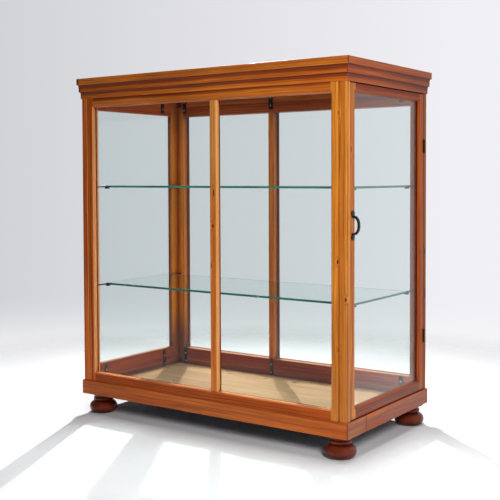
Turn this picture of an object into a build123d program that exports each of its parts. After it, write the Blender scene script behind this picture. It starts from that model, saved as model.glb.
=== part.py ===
"""Glazed display case: pine frame on bun feet, glass walls, two shelves and a side door."""

from build123d import *

import math
import os

os.makedirs("parts", exist_ok=True)

# ---------------------------------------------------------------- overall sizes
width = 600.0
depth = 308.8
frame_height = 560.4
foot_height = 39.0
plinth_height = 27.6
cornice_height = 27.2
cap_height = 13.0

# ---------------------------------------------------------------- wall thicknesses
front_thickness = 13.0
left_thickness = 12.0
back_thickness = 24.0
door_thickness = 12.0

# ---------------------------------------------------------------- glass and its seats
glass_thickness = 3.0
front_glass_depth = 7.5
left_glass_depth = 2.0
back_glass_depth = 7.5
door_glass_depth = 6.0
rebate_width = 6.0
glass_clearance = 0.5
bead_edge = 1.2

# ---------------------------------------------------------------- posts
front_leg_width = 30.0
front_left_side_leg = 34.0
back_left_leg = 28.5
back_left_side_leg = 46.0
back_right_leg = 24.0
stop_width = 14.5
stop_depth = 13.4
stop_gap = 0.5
bead_width = 13.4
bead_easing = 1.5
quirk_width = 2.4
quirk_depth = 2.2

# ---------------------------------------------------------------- rails and mullions
front_bottom_rail = 17.9
front_top_rail = 18.0
left_bottom_rail = 27.4
left_top_rail = 21.0
back_bottom_rail = 23.4
back_top_rail = 22.0
front_chamfer = 2.3
front_mullion_at = 26.8
front_mullion_width = 17.0
back_mullion_at = -37.0
back_mullion_width = 13.0

# ---------------------------------------------------------------- plinth, floor and feet
plinth_overhang = 2.6
plinth_rounding = 2.2
floor_thickness = 16.0
front_foot_inset_x = 27.0
front_foot_inset_y = 26.4
rear_foot_inset_x = 23.0
rear_foot_inset_y = 24.4
foot_radius = 27.5
foot_collar_radius = 25.5
foot_collar_edge = 1.6
foot_collar_height = 7.2
foot_neck_radius = 18.0
foot_bead_height = 7.6
foot_bead_swell = 1.9
foot_groove = 1.0
foot_widest_at = 12.1
foot_base_radius = 18.0
dowel_radius = 5.0
dowel_in_foot = 20.0
dowel_in_floor = 11.0

# ---------------------------------------------------------------- cornice and cap
cornice_lower_overhang = 1.4
cornice_upper_overhang = 4.2
cornice_fillet = 7.0
cornice_cove = 1.0
cove_turn = 0.25
cap_overhang = 7.3
cap_board_width = 45.0
cap_rounding = 1.4
top_panel_thickness = 8.0
top_panel_lap = 8.0

# ---------------------------------------------------------------- door
door_gap = 1.5
door_top_gap = 1.2
door_bottom_gap = 1.4
door_stile_width = 17.5
door_bottom_rail = 19.0
door_top_rail = 14.8
door_chamfer = 4.0
door_rounding = 1.0

# ---------------------------------------------------------------- hinges
hinge_length = 25.0
hinge_leaf_thickness = 0.7
hinge_leaf_width = 9.0
hinge_barrel_radius = 1.8
hinge_pin_radius = 0.8
hinge_axis_out = 1.3
hinge_recess_clearance = 0.3
hinge_knuckle_gap = 0.2
hinge_leaf_set_back = 1.0
hinge_below_top = 99.0
hinge_above_bottom = 103.4
hinge_screw_spacing = 15.0
hinge_screw_inset = 5.0

# ---------------------------------------------------------------- handle
handle_inset = 6.6
handle_above_bottom = 324.4
handle_spacing = 39.6
handle_pad_radius = 5.0
handle_pad_thickness = 1.8
handle_stand_off = 12.0
handle_bar_width = 5.4
handle_bar_thickness = 3.8
handle_bar_rounding = 1.2
handle_arm_lap = 1.6
handle_shoulder = (0.5, 0.94)
handle_bend = (0.86, 0.6)

# ---------------------------------------------------------------- shelves
shelf_end_gap = 4.0
shelf_front_gap = 38.7
shelf_back_gap = 26.4
shelf_thickness = 4.0
lower_compartment = 198.4
middle_compartment = 193.6
peg_radius = 1.6
peg_inset = 1.6
peg_rise = 2.0
peg_seat_depth = 9.0
peg_gap = 0.3
peg_collar_thickness = 2.0
peg_width = 6.0
peg_ledge_length = 5.0
peg_ledge_thickness = 2.4

# ---------------------------------------------------------------- joint plates
plate_width = 8.0
plate_height = 33.4
plate_thickness = 1.6
plate_floor_gap = 2.2
top_plate_below_seam = 15.4
back_plate_inset_left = 21.0
back_plate_inset_right = 30.0
left_plate_inset_front = 37.4
left_plate_inset_back = 51.4

# ---------------------------------------------------------------- screws, catch and fits
screw_radius = 1.1
screw_length = 8.0
screw_head_radius = 2.1
screw_head_height = 1.1
screw_head_rounding = 0.6
screw_slot_width = 0.8
screw_slot_share = 0.5
hinge_screw_head_radius = 1.5
hinge_screw_head_height = 0.4
fit_clearance = 0.05
magnet_radius = 3.0
magnet_depth = 5.0
strike_radius = 4.0
strike_thickness = 1.2

# ---------------------------------------------------------------- levels and inner planes
plinth_bottom = foot_height
frame_bottom = plinth_bottom + plinth_height
frame_top = frame_bottom + frame_height
cornice_top = frame_top + cornice_height
cap_top = cornice_top + cap_height
floor_top = plinth_bottom + floor_thickness
half_width = width / 2
half_depth = depth / 2
inner_front = -half_depth + front_thickness
inner_back = half_depth - back_thickness
inner_left = -half_width + left_thickness
inner_right = half_width - door_thickness
door_half = half_depth - front_thickness
door_bottom = frame_bottom + door_bottom_gap
door_top = frame_top - door_top_gap
hinge_gap_y = door_half + door_gap / 2
hinge_axis_x = half_width + hinge_axis_out
hinge_heights = (frame_top - hinge_below_top, frame_bottom + hinge_above_bottom)
handle_y = -door_half + handle_inset
handle_middle = frame_bottom + handle_above_bottom
shelf_half = (inner_right - inner_left) / 2 - shelf_end_gap
shelf_front_y = inner_front + shelf_front_gap
shelf_back_y = inner_back - shelf_back_gap
shelf_lower = floor_top + lower_compartment
shelf_upper = shelf_lower + shelf_thickness + middle_compartment
peg_x = shelf_half - peg_inset
back_plates_at = (
    inner_left + back_plate_inset_left,
    back_mullion_at,
    inner_right - back_plate_inset_right,
)
left_plates_at = (inner_front + left_plate_inset_front, inner_back - left_plate_inset_back)

# Each wall is drawn in its own frame: x along the wall, y inwards from the outer face, z up.
WALL = {
    "front": Pos(0, -half_depth, 0),
    "back": Pos(0, half_depth, 0) * Rot(0, 0, 180),
    "left": Pos(-half_width, 0, 0) * Rot(0, 0, -90),
    "right": Pos(half_width, 0, 0) * Rot(0, 0, 90),
}
WALL_THICKNESS = {
    "front": front_thickness,
    "back": back_thickness,
    "left": left_thickness,
    "right": door_thickness,
}
WALL_HALF = {
    "front": half_width,
    "back": half_width,
    "left": half_depth,
    "right": half_depth,
}


# ---------------------------------------------------------------- drawing helpers
def span(x0, x1, y0, y1, z0, z1):
    """A box given by its limits along each axis."""
    box = Box(x1 - x0, y1 - y0, z1 - z0)
    return Pos((x0 + x1) / 2, (y0 + y1) / 2, (z0 + z1) / 2) * box


def plan_prism(points, z0, z1):
    """A plan outline raised from z0 to z1."""
    face = make_face(Polyline(*points, close=True))
    return Pos(0, 0, z0) * extrude(face, amount=z1 - z0)


def wall_prism(points, y0, y1):
    """An outline drawn on a wall (x, z), from depth y0 to y1."""
    face = make_face(Polyline(*points, close=True))
    return Pos(0, y1, 0) * Rot(90, 0, 0) * extrude(face, amount=y1 - y0)


def rod(radius, start, end):
    """A round bar from one point to another."""
    line = Line(start, end)
    plane = Plane(origin=start, z_dir=line % 0)
    return extrude(plane * Circle(radius), amount=line.length)


def solids_of(shape):
    return list(shape.solids())


def group(shapes):
    """Separate solids kept together in one node."""
    return Compound(children=[s for shape in shapes for s in solids_of(shape)])


def save(shape, name):
    solids = solids_of(shape)
    part = solids[0] if len(solids) == 1 else Compound(children=solids)
    export_step(part, f"parts/{name}.step")


# ---------------------------------------------------------------- openings in the walls
def flare(x0, x1, z0, z1, size):
    """The chamfer round an opening's outer edge: a frustum that narrows inwards."""
    wide = Rectangle(x1 - x0 + 2 * size, z1 - z0 + 2 * size)
    tool = extrude(wide, amount=size, taper=45)
    return Pos((x0 + x1) / 2, 0, (z0 + z1) / 2) * Rot(-90, 0, 0) * tool


def opening_tool(limits, thickness, rebate, chamfer):
    """What is cut away for one pane: the sight opening, its chamfer and the glass rebate."""
    x0, x1, z0, z1 = limits
    tool = span(x0, x1, -1, thickness + 1, z0, z1)
    w = rebate_width
    tool += span(x0 - w, x1 + w, rebate[0], rebate[1], z0 - w, z1 + w)
    if chamfer > 0:
        tool += flare(x0, x1, z0, z1, chamfer)
    return tool


def pane(limits, glass_depth):
    """Glass that stands on the rebate's lower ledge."""
    x0, x1, z0, z1 = limits
    w = rebate_width
    c = glass_clearance
    return span(x0 - w + c, x1 + w - c, glass_depth, glass_depth + glass_thickness, z0 - w, z1 + w - c)


def pane_beads(limits, y0, y1, sight_y):
    """Four mitred strips that hold one pane, with the corner at sight_y eased."""
    x0, x1, z0, z1 = limits
    w = rebate_width
    outer = [(x0 - w, z0 - w), (x1 + w, z0 - w), (x1 + w, z1 + w), (x0 - w, z1 + w)]
    inner = [(x0, z0), (x1, z0), (x1, z1), (x0, z1)]
    tool = flare(x0, x1, z0, z1, bead_edge)
    if sight_y == y0:
        tool = Pos(0, y0, 0) * tool
    else:
        tool = Pos(0, y1, 0) * mirror(tool, Plane.XZ)
    strips = []
    for i in range(4):
        j = (i + 1) % 4
        strip = wall_prism([outer[i], outer[j], inner[j], inner[i]], y0, y1)
        strips.append(strip - tool)
    return strips


bottom_rail = {"front": front_bottom_rail, "back": back_bottom_rail, "left": left_bottom_rail}
top_rail = {"front": front_top_rail, "back": back_top_rail, "left": left_top_rail}
glass_depth_of = {"front": front_glass_depth, "back": back_glass_depth, "left": left_glass_depth}
chamfer_of = {"front": front_chamfer, "back": 0, "left": 0}

# Each wall's clear limits between posts, in that wall's own x.
wall_limits = {
    "front": (-half_width + front_leg_width, half_width - front_leg_width),
    "back": (-half_width + back_right_leg, half_width - back_left_leg),
    "left": (-half_depth + back_left_side_leg, half_depth - front_left_side_leg),
}
mullion_span = {
    "front": (front_mullion_at - front_mullion_width / 2, front_mullion_at + front_mullion_width / 2),
    "back": (-back_mullion_at - back_mullion_width / 2, -back_mullion_at + back_mullion_width / 2),
}


def wall_openings(side):
    """The sight openings of a wall, each as x0, x1, z0, z1 in the wall's frame."""
    x0, x1 = wall_limits[side]
    z0 = frame_bottom + bottom_rail[side]
    z1 = frame_top - top_rail[side]
    if side not in mullion_span:
        return [(x0, x1, z0, z1)]
    m0, m1 = mullion_span[side]
    return [(x0, m0, z0, z1), (m1, x1, z0, z1)]


def rebate_of(side):
    """The front is glazed from inside, the left and back from outside."""
    glass = glass_depth_of[side]
    if side == "front":
        return (glass, WALL_THICKNESS[side] + 1)
    return (-1, glass + glass_thickness)


def bead_span(side):
    glass = glass_depth_of[side]
    if side == "front":
        return (glass + glass_thickness, WALL_THICKNESS[side], WALL_THICKNESS[side])
    return (0, glass, 0)


def wall_tools(side):
    return [
        WALL[side] * opening_tool(limits, WALL_THICKNESS[side], rebate_of(side), chamfer_of[side])
        for limits in wall_openings(side)
    ]


OPENING_TOOLS = {side: wall_tools(side) for side in ("front", "back", "left")}


def cut_openings(shape, sides):
    for side in sides:
        for tool in OPENING_TOOLS[side]:
            shape -= tool
    return shape


# ---------------------------------------------------------------- screws
def screw(head_radius, head_height, buried, rounding=0):
    """A slotted screw along +Y, with the underside of its head at y = buried."""
    top = buried - head_height
    head = rod(head_radius, (0, top, 0), (0, buried, 0))
    if rounding > 0:
        head = fillet(head.edges().sort_by(Axis.Y)[0], rounding)
    slot_end = top + head_height * screw_slot_share
    half = screw_slot_width / 2
    head -= span(-head_radius, head_radius, top - 1, slot_end, -half, half)
    return head + rod(screw_radius, (0, slot_end, 0), (0, screw_length, 0))


def screw_hole(length):
    return rod(screw_radius + fit_clearance, (0, -0.1, 0), (0, length + 0.5, 0))


def plate_places():
    """Where each joint plate is: wall, x along the wall, lower end, both screw heights."""
    places = []
    spots = [("back", -x) for x in back_plates_at] + [("left", -y) for y in left_plates_at]
    ends = {frame_bottom: floor_top + plate_floor_gap, frame_top: frame_top - top_plate_below_seam}
    for side, x in spots:
        for seam, end in ends.items():
            screws = ((end + seam) / 2, (end + plate_height + seam) / 2)
            places.append((side, x, end, screws))
    return places


PLATE_PLACES = plate_places()


def plate_screw_spots():
    """Each plate screw's place on the inner face of its wall, head towards the inside."""
    spots = []
    for side, x, low, heights in PLATE_PLACES:
        for z in heights:
            spots.append(WALL[side] * Pos(x, WALL_THICKNESS[side], z) * Rot(0, 0, 180))
    return spots


PLATE_SCREWS = plate_screw_spots()
PLATE_HOLES = [spot * screw_hole(screw_length) for spot in PLATE_SCREWS]


def cut_plate_holes(shape):
    box = shape.bounding_box()
    for hole in PLATE_HOLES:
        c = hole.bounding_box().center()
        near_x = box.min.X - 10 < c.X < box.max.X + 10
        near_y = box.min.Y - 10 < c.Y < box.max.Y + 10
        near_z = box.min.Z < c.Z < box.max.Z
        if near_x and near_y and near_z:
            shape -= hole
    return shape


# ---------------------------------------------------------------- posts
def quirk_section(swap):
    """The section cut from one face for the quirk and the eased edge of the bead beside it."""
    w, e, d = bead_width, bead_easing, quirk_depth

    def block(x0, x1, depth):
        middle = ((x0 + x1) / 2, (depth - 1) / 2)
        size = (x1 - x0, depth + 1)
        if swap:
            return Pos(middle[1], middle[0]) * Rectangle(size[1], size[0])
        return Pos(*middle) * Rectangle(*size)

    round_edge = Pos(e, w - e) * Circle(e) if swap else Pos(w - e, e) * Circle(e)
    return block(w, w + quirk_width, d) + (block(w - e, w, e) - round_edge)


def corner_bead(sx, sy):
    """What is cut away to leave a flat bead on an outer corner, set off by narrow quirks."""
    e = bead_easing
    sketch = Pos(e / 2 - 0.5, e / 2 - 0.5) * Rectangle(e + 1, e + 1) - Pos(e, e) * Circle(e)
    sketch += quirk_section(False)
    sketch += quirk_section(True)
    tool = Pos(0, 0, frame_bottom - 1) * extrude(sketch, amount=frame_height + 2)
    turn = {(-1, -1): 0, (1, -1): 90, (1, 1): 180, (-1, 1): 270}[(sx, sy)]
    return Pos(sx * half_width, sy * half_depth, 0) * Rot(0, 0, turn) * tool


def hinge_recess():
    """Room for the knuckles of both hinges."""
    tools = []
    radius = hinge_barrel_radius + hinge_recess_clearance
    for middle in hinge_heights:
        low = middle - hinge_length / 2 - hinge_recess_clearance
        high = middle + hinge_length / 2 + hinge_recess_clearance
        start = (hinge_axis_x, hinge_gap_y, low)
        tools.append(rod(radius, start, (hinge_axis_x, hinge_gap_y, high)))
    return tools


def hinge_screw_places(sign):
    """Screw places on the post side (+1) or the door side (-1) of the hinge gap."""
    places = []
    for middle in hinge_heights:
        for dz in (-hinge_screw_spacing / 2, hinge_screw_spacing / 2):
            x = half_width - hinge_screw_inset
            y = hinge_gap_y + sign * door_gap / 2
            turn = 0 if sign > 0 else 180
            places.append(Pos(x, y, middle + dz) * Rot(0, 0, turn))
    return places


def hinge_screw_holes(sign):
    return [place * screw_hole(screw_length) for place in hinge_screw_places(sign)]


def peg_holes():
    """Holes for the shelf pegs, in the inner faces of the front and back legs."""
    return [peg_rod(sx, sy, z, peg_radius + fit_clearance, 0.5) for sx, sy, z in PEG_PLACES]


def peg_root(sx, sy):
    """The face a peg stands out of: the wall, or the door stop on the right at the front."""
    if sy > 0:
        return inner_back
    return inner_front if sx < 0 else inner_front + stop_depth


def peg_rod(sx, sy, z, radius, extra):
    root = peg_root(sx, sy)
    shelf_edge = shelf_back_y if sy > 0 else shelf_front_y
    start = (sx * peg_x, root + sy * (peg_seat_depth + extra), z)
    end = (sx * peg_x, shelf_edge + sy * (peg_gap + peg_collar_thickness / 2), z)
    return rod(radius, start, end)


PEG_PLACES = [
    (sx, sy, shelf_z + peg_rise)
    for shelf_z in (shelf_lower, shelf_upper)
    for sx in (-1, 1)
    for sy in (-1, 1)
]
PEG_HOLES = peg_holes()


def magnet_place():
    """The catch magnet's face on the front door stop, pointing at the door."""
    return (inner_right - stop_gap, handle_y, handle_middle)


def make_posts():
    x, y = half_width, half_depth
    stop_x = inner_right - stop_gap
    door_y = door_half + door_gap
    outlines = {
        "post_front_left": [
            (-x, -y),
            (-x + front_leg_width, -y),
            (-x + front_leg_width, inner_front),
            (inner_left, inner_front),
            (inner_left, -y + front_left_side_leg),
            (-x, -y + front_left_side_leg),
        ],
        "post_rear_left": [
            (-x, y),
            (-x, y - back_left_side_leg),
            (inner_left, y - back_left_side_leg),
            (inner_left, inner_back),
            (-x + back_left_leg, inner_back),
            (-x + back_left_leg, y),
        ],
        "post_front_right": [
            (x, -y),
            (x, -door_y),
            (stop_x, -door_y),
            (stop_x, inner_front + stop_depth),
            (stop_x - stop_width, inner_front + stop_depth),
            (stop_x - stop_width, inner_front),
            (x - front_leg_width, inner_front),
            (x - front_leg_width, -y),
        ],
        "post_rear_right": [
            (x, y),
            (x - back_right_leg, y),
            (x - back_right_leg, inner_back),
            (stop_x, inner_back),
            (stop_x, door_y),
            (x, door_y),
        ],
    }
    corners = {
        "post_front_left": (-1, -1),
        "post_rear_left": (-1, 1),
        "post_front_right": (1, -1),
        "post_rear_right": (1, 1),
    }
    posts = {}
    for name, points in outlines.items():
        sx, sy = corners[name]
        post = plan_prism(points, frame_bottom, frame_top)
        post -= corner_bead(sx, sy)
        post = cut_openings(post, ["front" if sy < 0 else "back"] + (["left"] if sx < 0 else []))
        post = cut_plate_holes(post)
        for (px, py, z), hole in zip(PEG_PLACES, PEG_HOLES):
            if (px, py) == (sx, sy):
                post -= hole
        posts[name] = post
    for tool in hinge_recess() + hinge_screw_holes(1):
        posts["post_rear_right"] -= tool
    x, y, z = magnet_place()
    hole_radius = magnet_radius + fit_clearance
    posts["post_front_right"] -= rod(hole_radius, (x + 1, y, z), (x - magnet_depth, y, z))
    return posts


# ---------------------------------------------------------------- rails and mullions
def make_rails():
    rails = {}
    for side in ("front", "back", "left"):
        x0, x1 = wall_limits[side]
        t = WALL_THICKNESS[side]
        levels = {
            "bottom": (frame_bottom, frame_bottom + bottom_rail[side]),
            "top": (frame_top - top_rail[side], frame_top),
        }
        for level, (z0, z1) in levels.items():
            rail = WALL[side] * span(x0, x1, 0, t, z0, z1)
            rails[f"rail_{side}_{level}"] = cut_plate_holes(cut_openings(rail, [side]))
    return rails


def make_mullion(side):
    """An upright between two panes, rebated on both edges."""
    x0, x1 = mullion_span[side]
    z0 = frame_bottom + bottom_rail[side]
    z1 = frame_top - top_rail[side]
    bar = WALL[side] * span(x0, x1, 0, WALL_THICKNESS[side], z0, z1)
    return cut_openings(bar, [side])


def make_panes():
    panes = {}
    names = {"front": ("left", "right"), "back": ("right", "left"), "left": ("",)}
    for side, ends in names.items():
        for limits, end in zip(wall_openings(side), ends):
            name = f"pane_{side}_{end}" if end else f"pane_{side}"
            panes[name] = WALL[side] * pane(limits, glass_depth_of[side])
    return panes


def make_glazing_beads(side):
    y0, y1, sight = bead_span(side)
    strips = []
    for limits in wall_openings(side):
        strips += [WALL[side] * strip for strip in pane_beads(limits, y0, y1, sight)]
    return group(strips)


# ---------------------------------------------------------------- plinth, floor and feet
def mitred_board(side, profile, overhang):
    """A profile (inwards, up) run along one wall and mitred at both ends."""
    half = WALL_HALF[side]
    face = Plane.YZ * make_face(profile)
    run = extrude(face, amount=half + overhang + 5, both=True)
    box = run.bounding_box()
    out = overhang + 1
    deep = box.max.Y + 1
    plan = [(-half - out, -out), (half + out, -out), (half - deep, deep), (-half + deep, deep)]
    return WALL[side] * (run & plan_prism(plan, box.min.Z - 1, box.max.Z + 1))


def plinth_profile(side):
    o, r, t = plinth_overhang, plinth_rounding, WALL_THICKNESS[side]
    z0, z1 = plinth_bottom, frame_bottom
    k = r * (1 - math.sqrt(0.5))
    lines = Polyline((-o, z1 - r), (-o, z0), (t, z0), (t, z1), (-o + r, z1))
    return lines + ThreePointArc((-o + r, z1), (-o + k, z1 - k), (-o, z1 - r))


def foot_places():
    front_x, front_y = half_width - front_foot_inset_x, half_depth - front_foot_inset_y
    rear_x, rear_y = half_width - rear_foot_inset_x, half_depth - rear_foot_inset_y
    return {
        "front_left": (-front_x, -front_y),
        "front_right": (front_x, -front_y),
        "rear_left": (-rear_x, rear_y),
        "rear_right": (rear_x, rear_y),
    }


def cut_dowel_holes(board):
    """A dowel near the board's edge takes a bite out of the plinth as well."""
    for x, y in foot_places().values():
        low = plinth_bottom - 1
        high = plinth_bottom + dowel_in_floor
        board -= rod(dowel_radius + fit_clearance, (x, y, low), (x, y, high))
    return board


def make_plinth(side):
    board = mitred_board(side, plinth_profile(side), plinth_overhang)
    return cut_dowel_holes(cut_plate_holes(board))


def make_floor_board():
    board = span(inner_left, inner_right, inner_front, inner_back, plinth_bottom, floor_top)
    return cut_dowel_holes(board)


def make_foot(x, y):
    """A turned foot: flared collar, bead, groove and bun."""
    top = foot_height
    neck = foot_neck_radius
    collar = foot_collar_radius
    edge = top - foot_collar_edge
    collar_end = top - foot_collar_height
    flare_at = edge - (edge - collar_end) / 3
    flare_radius = neck + (collar - neck) / 5
    bead_end = collar_end - foot_bead_height
    bead_at = (collar_end + bead_end) / 2
    groove = neck - foot_groove
    groove_end = bead_end - foot_groove
    line = Polyline((0, 0), (0, top), (collar, top), (collar, edge))
    line += ThreePointArc((collar, edge), (flare_radius, flare_at), (neck, collar_end))
    line += ThreePointArc((neck, collar_end), (neck + foot_bead_swell, bead_at), (neck, bead_end))
    line += Line((neck, bead_end), (groove, groove_end))
    widest = (foot_radius, foot_widest_at)
    line += ThreePointArc((groove, groove_end), widest, (foot_base_radius, 0))
    line += Line((foot_base_radius, 0), (0, 0))
    foot = revolve(Plane.XZ * make_face(line), axis=Axis.Z)
    hole = rod(dowel_radius + fit_clearance, (0, 0, top + 1), (0, 0, top - dowel_in_foot))
    return Pos(x, y, 0) * (foot - hole)


def make_foot_dowels():
    low = plinth_bottom - dowel_in_foot
    high = plinth_bottom + dowel_in_floor
    spots = foot_places().values()
    return group([rod(dowel_radius, (x, y, low), (x, y, high)) for x, y in spots])


# ---------------------------------------------------------------- cornice, cap and top
def cornice_profile(side):
    t = WALL_THICKNESS[side]
    step = cornice_height / 2
    outs = (cornice_lower_overhang, cornice_upper_overhang)
    z = frame_top
    c = cornice_cove
    low, high = outs
    line = Polyline((t, z), (-low, z), (-low, z + cornice_fillet))
    middle = (cornice_fillet + step) / 2
    line += ThreePointArc(
        (-low, z + cornice_fillet), (-low - c * cove_turn, z + middle), (-low - c, z + step)
    )
    line += Polyline((-low - c, z + step), (-high, z + step), (-high, z + step + cornice_fillet))
    line += ThreePointArc(
        (-high, z + step + cornice_fillet),
        (-high - c * cove_turn, z + step + middle),
        (-high - c, z + 2 * step),
    )
    line += Polyline((-high - c, z + 2 * step), (t, z + 2 * step), (t, z))
    return line


def make_cornice(side):
    return cut_plate_holes(mitred_board(side, cornice_profile(side), cap_overhang))


def cap_profile():
    """A flat board with its outer edges eased and a lap for the top panel inside."""
    o, r, w, lap = cap_overhang, cap_rounding, cap_board_width, top_panel_lap
    z0, z1 = cornice_top, cap_top
    ledge = z1 - top_panel_thickness
    k = r * (1 - math.sqrt(0.5))
    line = Polyline((-o, z1 - r), (-o, z0 + r))
    line += ThreePointArc((-o, z0 + r), (-o + k, z0 + k), (-o + r, z0))
    inner = w - o
    line += Polyline(
        (-o + r, z0), (inner, z0), (inner, ledge), (inner - lap, ledge), (inner - lap, z1), (-o + r, z1)
    )
    return line + ThreePointArc((-o + r, z1), (-o + k, z1 - k), (-o, z1 - r))


def make_cap(side):
    return mitred_board(side, cap_profile(), cap_overhang)


def make_top_panel():
    inset = cap_board_width - cap_overhang - top_panel_lap + glass_clearance
    x, y = half_width - inset, half_depth - inset
    return span(-x, x, -y, y, cap_top - top_panel_thickness, cap_top)


# ---------------------------------------------------------------- joint plates
def make_joint_plates():
    plates = []
    for side, x, low, heights in PLATE_PLACES:
        t = WALL_THICKNESS[side]
        half = plate_width / 2
        plate = span(x - half, x + half, t, t + plate_thickness, low, low + plate_height)
        face = t + plate_thickness
        for z in heights:
            plate -= rod(screw_radius + fit_clearance, (x, t - 1, z), (x, face + 1, z))
        plates.append(WALL[side] * plate)
    return group(plates)


def make_plate_screws():
    one = screw(screw_head_radius, screw_head_height, -plate_thickness, screw_head_rounding)
    return group([spot * one for spot in PLATE_SCREWS])


# ---------------------------------------------------------------- shelves
def make_shelf(z):
    return span(-shelf_half, shelf_half, shelf_front_y, shelf_back_y, z, z + shelf_thickness)


def make_shelf_pegs():
    """Pins let into the posts, each with a collar beside the glass and a ledge under it."""
    pegs = []
    for sx, sy, z in PEG_PLACES:
        shelf_edge = shelf_back_y if sy > 0 else shelf_front_y
        seat = z - peg_rise
        near = shelf_edge + sy * peg_gap
        far = near + sy * peg_collar_thickness
        x0, x1 = sx * peg_x - peg_width / 2, sx * peg_x + peg_width / 2
        low = seat - peg_ledge_thickness
        collar = span(x0, x1, min(near, far), max(near, far), low, seat + shelf_thickness)
        tip = shelf_edge - sy * peg_ledge_length
        ledge = span(x0, x1, min(tip, far), max(tip, far), low, seat)
        pegs.append(peg_rod(sx, sy, z, peg_radius, 0) + collar + ledge)
    return group(pegs)


# ---------------------------------------------------------------- door
DOOR_LIMITS = (
    -door_half + door_stile_width,
    door_half - door_stile_width,
    door_bottom + door_bottom_rail,
    door_top - door_top_rail,
)
DOOR_TOOL = opening_tool(
    DOOR_LIMITS, door_thickness, (door_glass_depth, door_thickness + 1), door_chamfer
)


def door_bar(x0, x1, z0, z1, rounded):
    """A stile or rail with its outer edge eased on the outside of the door."""
    bar = span(x0, x1, 0, door_thickness, z0, z1)
    edges = [e for e in bar.edges() if rounded(e)]
    return WALL["right"] * (fillet(edges, door_rounding) - DOOR_TOOL)


def on_face(edge):
    box = edge.bounding_box()
    return abs(box.min.Y) < 1e-6 and abs(box.max.Y) < 1e-6


def make_door_frame():
    x0, x1, z0, z1 = DOOR_LIMITS
    outer = door_half

    def left_edge(e):
        return on_face(e) and e.bounding_box().max.X < -outer + 1e-6

    def right_edge(e):
        return on_face(e) and e.bounding_box().min.X > outer - 1e-6

    def top_edge(e):
        return on_face(e) and e.bounding_box().min.Z > door_top - 1e-6

    def bottom_edge(e):
        return on_face(e) and e.bounding_box().max.Z < door_bottom + 1e-6

    def closing_edges(e):
        return left_edge(e) or top_edge(e) or bottom_edge(e)

    def hinge_edges(e):
        return right_edge(e) or top_edge(e) or bottom_edge(e)

    pieces = {
        "door_stile_closing": door_bar(-outer, x0, door_bottom, door_top, closing_edges),
        "door_stile_hinge": door_bar(x1, outer, door_bottom, door_top, hinge_edges),
        "door_rail_bottom": door_bar(x0, x1, door_bottom, z0, bottom_edge),
        "door_rail_top": door_bar(x0, x1, z1, door_top, top_edge),
    }
    for tool in hinge_recess() + hinge_screw_holes(-1):
        pieces["door_stile_hinge"] -= tool
    for place in handle_screw_places():
        pieces["door_stile_closing"] -= place * screw_hole(screw_length)
    start = (inner_right - 1, handle_y, handle_middle)
    end = (inner_right + strike_thickness, handle_y, handle_middle)
    pieces["door_stile_closing"] -= rod(strike_radius + fit_clearance, start, end)
    return pieces


def make_door_pane():
    return WALL["right"] * pane(DOOR_LIMITS, door_glass_depth)


def make_door_beads():
    start = door_glass_depth + glass_thickness
    strips = pane_beads(DOOR_LIMITS, start, door_thickness, door_thickness)
    return group([WALL["right"] * strip for strip in strips])


# ---------------------------------------------------------------- hinges
def knuckle_spans(low, fixed):
    """The outer two knuckles are on the fixed leaf and the middle one on the moving leaf."""
    third = hinge_length / 3
    g = hinge_knuckle_gap / 2
    if fixed:
        return [(low, low + third - g), (low + 2 * third + g, low + hinge_length)]
    return [(low + third + g, low + 2 * third - g)]


def on_pin(radius, z0, z1):
    """A round bar on the line of the hinge pins."""
    return rod(radius, (hinge_axis_x, hinge_gap_y, z0), (hinge_axis_x, hinge_gap_y, z1))


def hinge_leaf(middle, fixed):
    """A flat leaf in the gap with its knuckles on the pin line."""
    low = middle - hinge_length / 2
    high = low + hinge_length
    face = hinge_gap_y + (door_gap / 2 if fixed else -door_gap / 2)
    inner = face - hinge_leaf_thickness if fixed else face + hinge_leaf_thickness
    y0, y1 = min(face, inner), max(face, inner)
    root = half_width - hinge_leaf_set_back
    leaf = span(half_width - hinge_leaf_width, root, y0, y1, low, high)
    for z0, z1 in knuckle_spans(low, fixed):
        leaf += on_pin(hinge_barrel_radius, z0, z1)
        leaf += span(root, hinge_axis_x, y0, y1, z0, z1)
    leaf -= on_pin(hinge_pin_radius + fit_clearance, low - 1, high + 1)
    head_seat = hinge_screw_head_height - hinge_leaf_thickness
    hole = rod(screw_radius + fit_clearance, (0, -2, 0), (0, 1, 0))
    hole += rod(hinge_screw_head_radius + fit_clearance, (0, -2, 0), (0, head_seat, 0))
    for place in hinge_screw_places(1 if fixed else -1):
        leaf -= place * hole
    return leaf


def make_hinge_leaves(fixed):
    return group([hinge_leaf(middle, fixed) for middle in hinge_heights])


def make_hinge_pins():
    half = hinge_length / 2
    return group([on_pin(hinge_pin_radius, z - half, z + half) for z in hinge_heights])


def make_hinge_screws(sign):
    height = hinge_screw_head_height
    one = screw(hinge_screw_head_radius, height, height - hinge_leaf_thickness)
    return group([place * one for place in hinge_screw_places(sign)])


# ---------------------------------------------------------------- handle and catch
def handle_pad_heights():
    return (handle_middle - handle_spacing / 2, handle_middle + handle_spacing / 2)


def handle_screw_places():
    return [Pos(half_width, handle_y, z) * Rot(0, 0, 90) for z in handle_pad_heights()]


def bow_line(reach, arm):
    """Half a squared oval, standing out by reach and as tall as twice arm."""
    upper = [(0, arm)] + [(u * reach, v * arm) for u, v in (handle_shoulder, handle_bend)]
    lower = [(x, -y) for x, y in reversed(upper)]
    return Spline(*upper, (reach, 0), *lower)


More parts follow.
